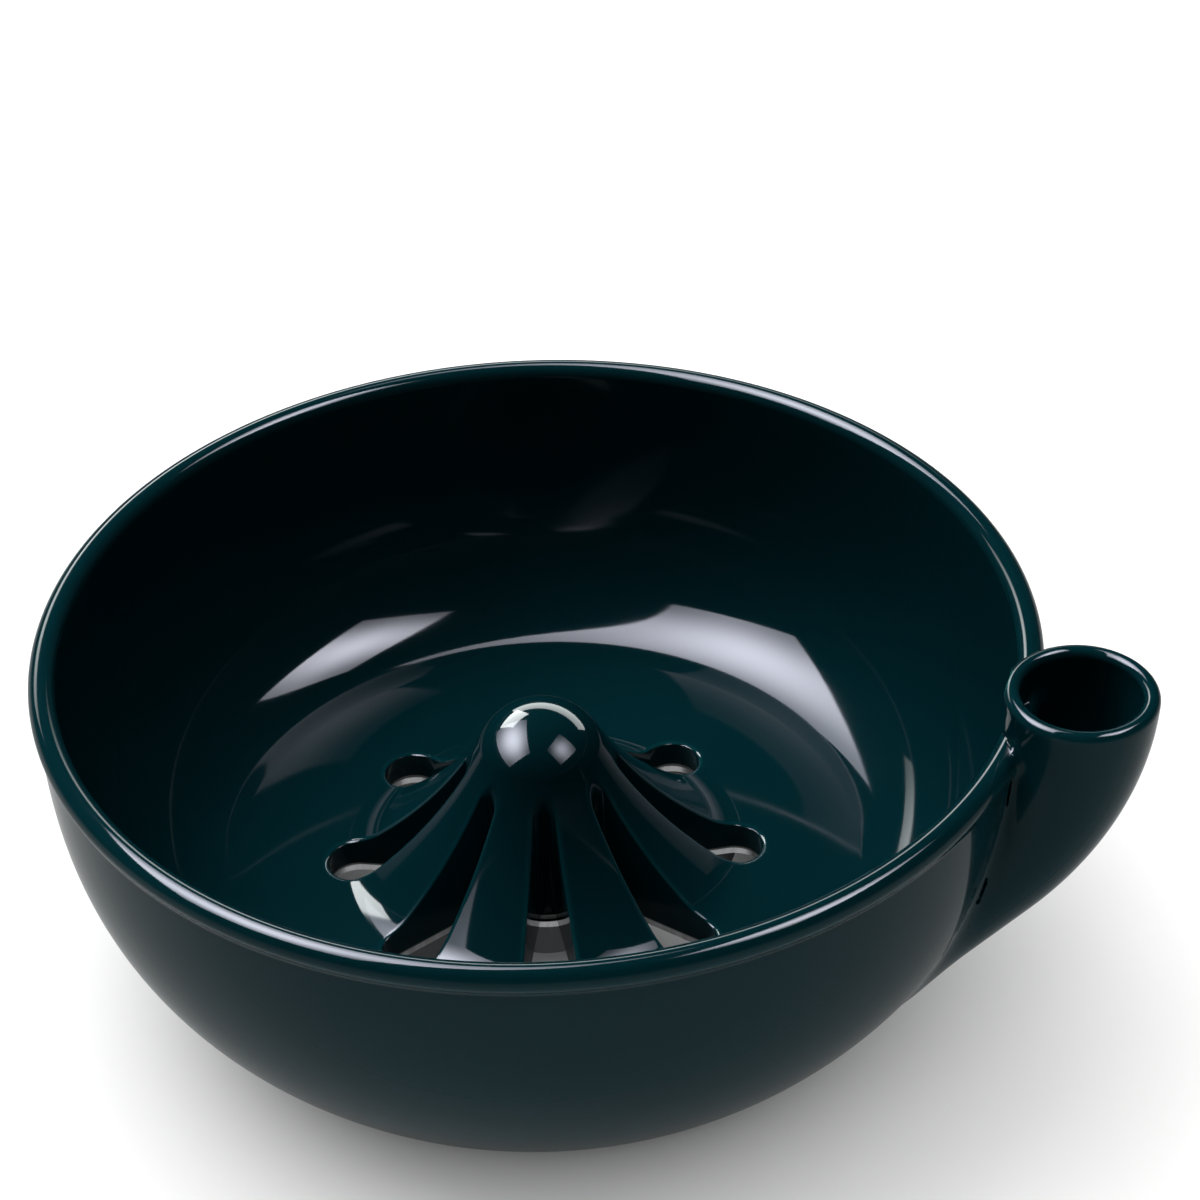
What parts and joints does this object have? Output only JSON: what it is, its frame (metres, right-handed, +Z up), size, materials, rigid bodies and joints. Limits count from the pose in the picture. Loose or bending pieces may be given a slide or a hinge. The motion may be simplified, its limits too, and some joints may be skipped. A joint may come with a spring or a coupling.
{
  "type": "soaking and straining bowl",
  "caption": "Glazed bowl with a slotted cone that drains it, a filling tube at the rim that sends water round, and a turning shutter under the floor that holds the water.",
  "frame": {"origin": "on the bowl's axis, in the plane that the foot stands on", "axes": "+X towards the filling tube's mouth, +Z up along the bowl's axis, +Y completes the right-handed frame"},
  "size_m": [0.2233, 0.2, 0.088],
  "materials": {
    "glaze": "gloss",
    "silicone": "matte",
    "steel": "brushed",
    "bushing": "matte",
    "grip": "matte",
    "brass": "machined"
  },
  "bodies": {
    "bowl": {"bowl_shell": "glaze", "drain_cone": "glaze", "fill_tube": "glaze", "foot_ring": "glaze", "shutter_seal": "silicone", "pivot_insert": "brass", "pivot_bolt": "steel", "spring_washer": "steel", "stop_inserts": "brass", "stop_studs": "steel"},
    "shutter": {"drain_shutter": "steel", "hub_bushing": "bushing", "turning_grip": "grip", "grip_rivets": "steel"}
  },
  "joints": [
    {"name": "shutter_turn", "type": "hinge", "parent": "bowl", "child": "shutter", "pos_m": [0, 0, 0.01325], "axis": [0, 0, 1], "range_deg": [0, 22.5]}
  ]
}
